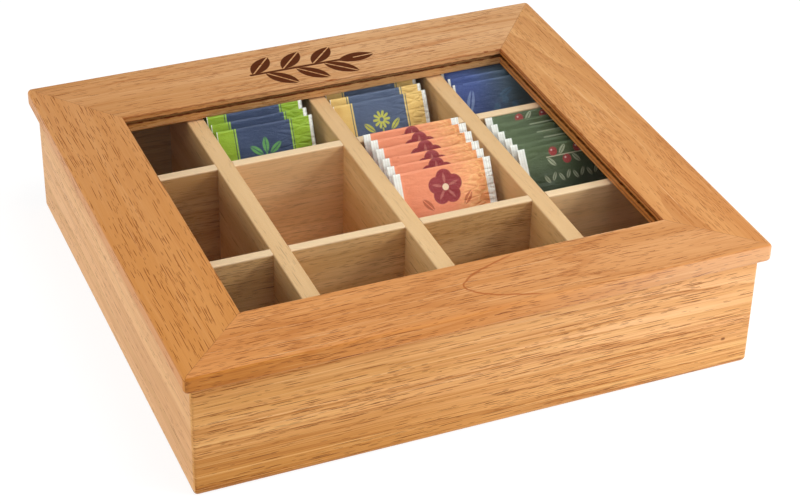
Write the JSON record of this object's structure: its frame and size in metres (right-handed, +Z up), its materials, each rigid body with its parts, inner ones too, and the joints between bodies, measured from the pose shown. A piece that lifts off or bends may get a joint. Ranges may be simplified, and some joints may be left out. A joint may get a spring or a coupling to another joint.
{
  "type": "tea box",
  "caption": "Wooden tea box with a hinged glazed lid over a grid of compartments, some holding leaning stacks of printed paper tea sachets.",
  "frame": {"origin": "middle of the underside of the case", "axes": "+X runs to the right along the front, +Y points to the hinged back, +Z is up"},
  "size_m": [0.335, 0.312, 0.081],
  "materials": {
    "lid_wood": "satin varnish",
    "case_wood": "satin varnish",
    "divider_wood": "matt, lightly sanded",
    "panel_wood": "matt plywood",
    "pane": "clear, polished",
    "brass": "satin",
    "paper_green": "printed coated paper",
    "paper_yellow": "printed coated paper",
    "paper_blue": "printed coated paper",
    "paper_orange": "printed coated paper",
    "paper_darkgreen": "printed coated paper"
  },
  "bodies": {
    "case": {"bottom_panel": "panel_wood", "wall_front": "case_wood", "wall_back": "case_wood", "wall_left": "case_wood", "wall_right": "case_wood", "divider_long_1": "divider_wood", "divider_long_2": "divider_wood", "divider_long_3": "divider_wood", "divider_cross_1": "divider_wood", "divider_cross_2": "divider_wood", "hinge_left_case_leaf": "brass", "hinge_left_case_screw_1": "brass", "hinge_left_case_screw_2": "brass", "hinge_left_pin": "brass", "hinge_right_case_leaf": "brass", "hinge_right_case_screw_1": "brass", "hinge_right_case_screw_2": "brass", "hinge_right_pin": "brass", "sachet_green_1": "paper_green", "sachet_green_2": "paper_green", "sachet_green_3": "paper_green", "sachet_green_4": "paper_green", "sachet_green_5": "paper_green", "sachet_green_6": "paper_green", "sachet_yellow_1": "paper_yellow", "sachet_yellow_2": "paper_yellow", "sachet_yellow_3": "paper_yellow", "sachet_yellow_4": "paper_yellow", "sachet_yellow_5": "paper_yellow", "sachet_yellow_6": "paper_yellow", "sachet_blue_1": "paper_blue", "sachet_blue_2": "paper_blue", "sachet_blue_3": "paper_blue", "sachet_blue_4": "paper_blue", "sachet_blue_5": "paper_blue", "sachet_blue_6": "paper_blue", "sachet_orange_1": "paper_orange", "sachet_orange_2": "paper_orange", "sachet_orange_3": "paper_orange", "sachet_orange_4": "paper_orange", "sachet_orange_5": "paper_orange", "sachet_orange_6": "paper_orange", "sachet_darkgreen_1": "paper_darkgreen", "sachet_darkgreen_2": "paper_darkgreen", "sachet_darkgreen_3": "paper_darkgreen", "sachet_darkgreen_4": "paper_darkgreen", "sachet_darkgreen_5": "paper_darkgreen", "sachet_darkgreen_6": "paper_darkgreen"},
    "lid": {"rail_front": "lid_wood", "rail_back": "lid_wood", "rail_left": "lid_wood", "rail_right": "lid_wood", "pane": "pane", "hinge_left_lid_leaf": "brass", "hinge_left_lid_screw_1": "brass", "hinge_left_lid_screw_2": "brass", "hinge_right_lid_leaf": "brass", "hinge_right_lid_screw_1": "brass", "hinge_right_lid_screw_2": "brass"}
  },
  "joints": [
    {"name": "lid_hinge", "type": "hinge", "parent": "case", "child": "lid", "pos_m": [0, 0.1527, 0.0689], "axis": [-1, 0, 0], "range_deg": [0, 100]}
  ]
}
